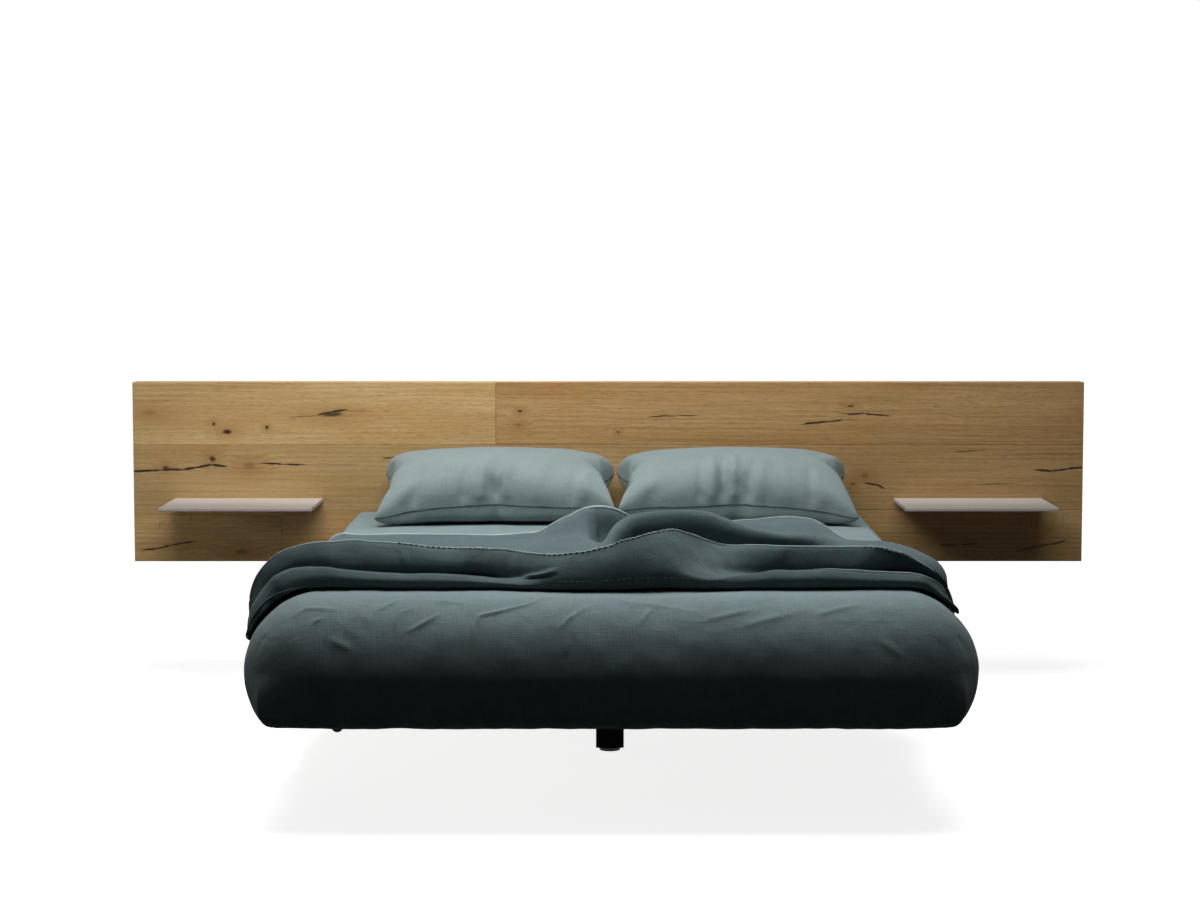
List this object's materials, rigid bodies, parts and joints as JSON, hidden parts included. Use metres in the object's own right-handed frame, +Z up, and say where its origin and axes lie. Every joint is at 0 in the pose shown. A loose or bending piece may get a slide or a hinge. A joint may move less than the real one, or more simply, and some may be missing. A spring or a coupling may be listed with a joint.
{
  "type": "wall-hung double bed with side shelves",
  "caption": "Wall-hung double bed: plank headboard with thin side shelves, steel slat base on a central leg, mattress in a padded cover, turned-back blanket and pillows.",
  "frame": {"origin": "on the floor under the middle of the bed's box", "axes": "+X to the right seen from the foot, +Y towards the wall, +Z up"},
  "size_m": [2.96, 2.13, 0.94],
  "materials": {
    "oak": "brushed and oiled wild oak with knots and cracks",
    "plywood": "sanded plywood",
    "slat_beech": "sanded beech",
    "shelf_lacquer": "satin lacquer, rose grey",
    "frame_paint": "matt black powder coat",
    "zinc": "zinc plated",
    "black_plastic": "matt",
    "felt": "pressed felt",
    "ticking": "woven ticking",
    "cover_cloth": "washed linen, dark teal grey",
    "blanket_cloth": "washed linen, dark teal grey",
    "pillow_cloth": "washed linen, pale teal grey"
  },
  "bodies": {
    "bed_base": {"plank_top_left": "oak", "plank_top_right": "oak", "plank_middle_left": "oak", "plank_middle_right": "oak", "plank_bottom_left": "oak", "plank_bottom_centre": "oak", "plank_bottom_right": "oak", "edge_board_top": "oak", "edge_board_bottom": "oak", "edge_board_left": "oak", "edge_board_right": "oak", "headboard_carrier": "plywood", "panel_cleat": "plywood", "wall_cleat": "plywood", "headboard_spacer": "plywood", "slat_01": "slat_beech", "slat_02": "slat_beech", "slat_03": "slat_beech", "slat_04": "slat_beech", "slat_05": "slat_beech", "slat_06": "slat_beech", "slat_07": "slat_beech", "slat_08": "slat_beech", "slat_09": "slat_beech", "slat_10": "slat_beech", "slat_11": "slat_beech", "slat_12": "slat_beech", "shelf_left": "shelf_lacquer", "shelf_right": "shelf_lacquer", "wall_bracket": "frame_paint", "head_rail": "frame_paint", "foot_rail": "frame_paint", "side_rail_left": "frame_paint", "side_rail_right": "frame_paint", "spine_beam": "frame_paint", "cross_beam_left": "frame_paint", "cross_beam_right": "frame_paint", "corner_brackets": "frame_paint", "leg_plate": "frame_paint", "leg_column": "frame_paint", "leg_insert": "frame_paint", "shelf_clamp_left": "frame_paint", "shelf_clamp_right": "frame_paint", "cleat_screws": "zinc", "shelf_clamp_screws": "zinc", "frame_bolts": "zinc", "leg_plate_bolts": "zinc", "foot_lock_nut": "zinc", "slat_holders": "black_plastic", "slat_saddles": "black_plastic", "rail_end_plugs": "black_plastic"},
    "foot": {"foot_stem": "zinc", "foot_pad": "black_plastic", "foot_glide": "felt"},
    "mattress": {"mattress": "ticking", "bed_cover": "cover_cloth"},
    "blanket": {"blanket": "blanket_cloth"},
    "pillow_left": {"pillow_left": "pillow_cloth"},
    "pillow_right": {"pillow_right": "pillow_cloth"}
  },
  "joints": [
    {"name": "foot_level", "type": "slide", "parent": "bed_base", "child": "foot", "axis": [0, 0, 1], "range_m": [-0.006, 0.01]},
    {"name": "mattress_lift", "type": "slide", "parent": "bed_base", "child": "mattress", "axis": [0, 0, 1], "range_m": [0, 0.3]},
    {"name": "blanket_lift", "type": "slide", "parent": "mattress", "child": "blanket", "axis": [0, 0, 1], "range_m": [0, 0.25]},
    {"name": "pillow_left_lift", "type": "slide", "parent": "mattress", "child": "pillow_left", "axis": [0, 0, 1], "range_m": [0, 0.25]},
    {"name": "pillow_right_lift", "type": "slide", "parent": "mattress", "child": "pillow_right", "axis": [0, 0, 1], "range_m": [0, 0.25]}
  ]
}
